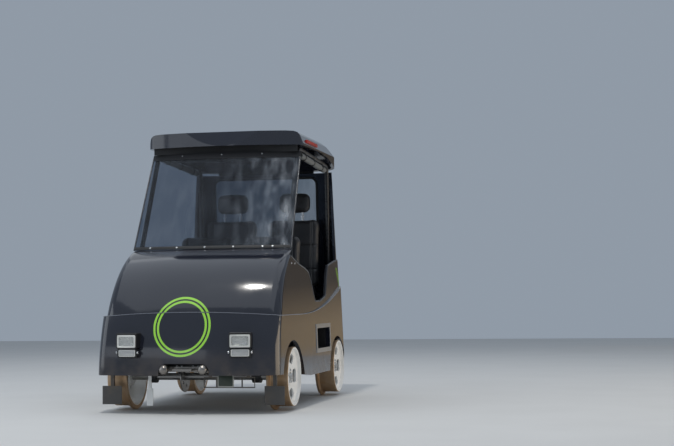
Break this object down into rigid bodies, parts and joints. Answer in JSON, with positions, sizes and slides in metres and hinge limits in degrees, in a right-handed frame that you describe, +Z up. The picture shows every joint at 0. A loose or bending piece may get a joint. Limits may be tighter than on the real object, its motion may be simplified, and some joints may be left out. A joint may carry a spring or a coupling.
{
  "type": "four seat rail car",
  "caption": "Small open sided rail car with a moulded black body, bowed windscreen, roof, two seat rows and two flanged wheelsets",
  "frame": {"origin": "bottom centre of the bounding box, under the wheel flanges", "axes": "+Z up, the front looks along -Y, the car's left is +X; units are metres"},
  "size_m": [1.299, 2.51, 2.0149],
  "materials": {
    "black_paint": "glossy black moulded panel",
    "roof_black": "glossy black moulded roof",
    "window_clear": "clear slightly hazy sheet",
    "window_tinted": "smoky clear sheet",
    "header_trim": "satin black strip",
    "lamp_lens": "pale frosted lens",
    "led_lens": "bright white segments",
    "lamp_shell": "black lamp housing",
    "red_lens": "red lens",
    "marker_lens": "rose red lens",
    "wheel_paint": "pale grey paint with a bare tread",
    "axle_steel": "turned steel",
    "chain_steel": "oiled steel",
    "brake_steel": "ground steel",
    "box_iron": "painted casting",
    "chassis_paint": "black paint on welded tube",
    "floor_sheet": "chequered sheet",
    "hoop_paint": "black painted tube",
    "dash_plastic": "grained dark moulding",
    "plinth_plastic": "dark moulding",
    "seat_cloth": "dark stitched seat cover",
    "engine_cover": "plain block for the closed engine",
    "coupler_paint": "black painted steel",
    "guard_steel": "grey painted steel",
    "sensor_white": "white bar",
    "step_lining": "dark sheet",
    "step_trim": "pale edged frame",
    "curtain_sheet": "rolled clear sheet with a dark hem"
  },
  "bodies": {
    "car": {"lower_front_panel": "black_paint", "lower_rear_panel": "black_paint", "lower_side_left": "black_paint", "lower_side_right": "black_paint", "bonnet": "black_paint", "side_panel_left": "black_paint", "side_panel_right": "black_paint", "tail_panel": "black_paint", "roof": "roof_black", "windscreen": "window_clear", "header_strip": "header_trim", "rear_window": "window_tinted", "headlamps": "lamp_lens", "led_bars": "led_lens", "lamp_housings": "lamp_shell", "tail_lamps": "red_lens", "side_markers": "marker_lens", "axle_boxes": "box_iron", "chassis_frame": "chassis_paint", "floor_pan": "floor_sheet", "canopy_frame": "hoop_paint", "dashboard": "dash_plastic", "front_seat_plinth": "plinth_plastic", "rear_seat_plinth": "plinth_plastic", "front_cushions": "seat_cloth", "front_backrests": "seat_cloth", "rear_cushions": "seat_cloth", "rear_backrests": "seat_cloth", "rear_headrests": "seat_cloth", "engine_block": "engine_cover", "front_coupler": "coupler_paint", "rear_coupler": "coupler_paint", "wheel_guards": "guard_steel", "underrun_lattice": "guard_steel", "sensor_bar": "sensor_white", "step_wells": "step_lining", "step_frames": "step_trim", "curtain_rolls": "curtain_sheet"},
    "front_wheelset": {"front_axle": "axle_steel", "front_wheel_left": "wheel_paint", "front_wheel_right": "wheel_paint", "brake_disc": "brake_steel"},
    "rear_wheelset": {"rear_axle": "axle_steel", "rear_wheel_left": "wheel_paint", "rear_wheel_right": "wheel_paint", "chain_wheel": "chain_steel"}
  },
  "joints": [
    {"name": "front_wheelset_spin", "type": "hinge", "parent": "car", "child": "front_wheelset", "pos_m": [0, -0.71, 0.231], "axis": [1, 0, 0], "continuous": true},
    {"name": "rear_wheelset_spin", "type": "hinge", "parent": "car", "child": "rear_wheelset", "pos_m": [0, 0.847, 0.231], "axis": [1, 0, 0], "continuous": true}
  ]
}
